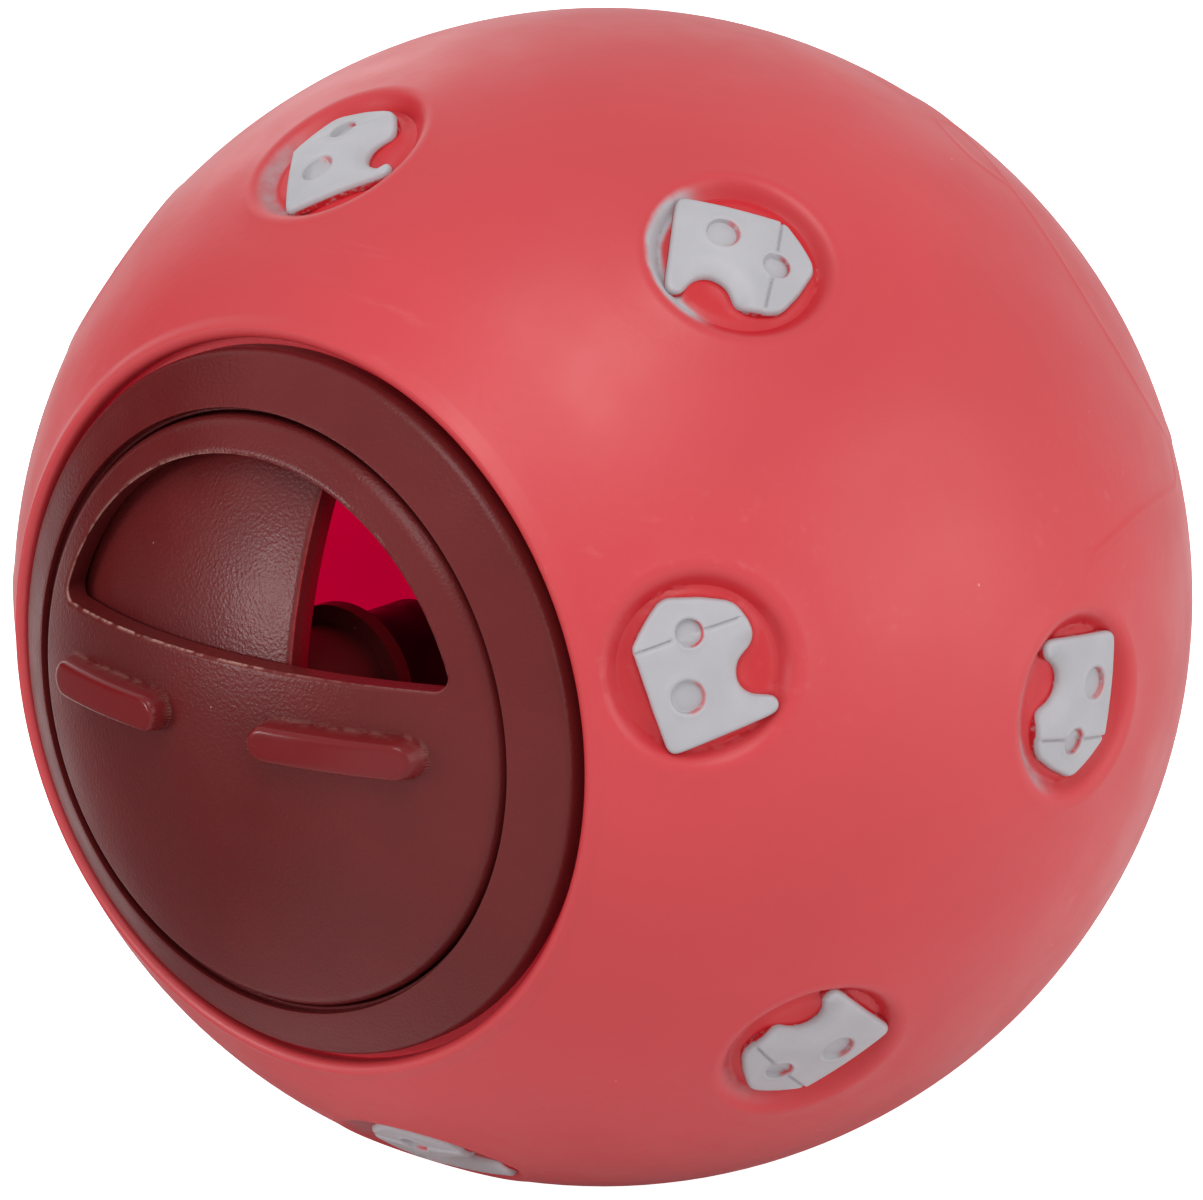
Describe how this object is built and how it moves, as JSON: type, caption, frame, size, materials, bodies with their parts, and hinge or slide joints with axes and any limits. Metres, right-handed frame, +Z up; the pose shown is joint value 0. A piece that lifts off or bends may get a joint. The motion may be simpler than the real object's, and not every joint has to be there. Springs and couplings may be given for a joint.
{
  "type": "treat dispensing ball",
  "caption": "Hollow soft vinyl ball with painted cheese reliefs; a hard insert in its mouth carries a turning dial that opens or shuts a half-moon port for dry treats.",
  "frame": {"origin": "centre of the ball", "axes": "+Z up, the mouth's axis along -Y, +X to the right when facing the mouth"},
  "size_m": [0.0699, 0.0708, 0.07],
  "materials": {
    "vinyl": "satin translucent soft vinyl",
    "white_paint": "matt sprayed paint",
    "maroon": "finely grained moulded plastic",
    "steel": "blackened steel"
  },
  "bodies": {
    "ball": {"ball_shell": "vinyl", "collar_insert": "maroon", "cheese_1": "white_paint", "cheese_2": "white_paint", "cheese_3": "white_paint", "cheese_4": "white_paint", "cheese_5": "white_paint", "cheese_6": "white_paint", "cheese_7": "white_paint", "cheese_8": "white_paint", "cheese_9": "white_paint", "cheese_10": "white_paint", "cheese_11": "white_paint", "cheese_12": "white_paint"},
    "dial": {"dial_disc": "maroon", "retaining_washer": "maroon", "pivot_screw": "steel"}
  },
  "joints": [
    {"name": "dial_turn", "type": "hinge", "parent": "ball", "child": "dial", "pos_m": [0, 0, 0], "axis": [0, -1, 0], "continuous": true}
  ]
}
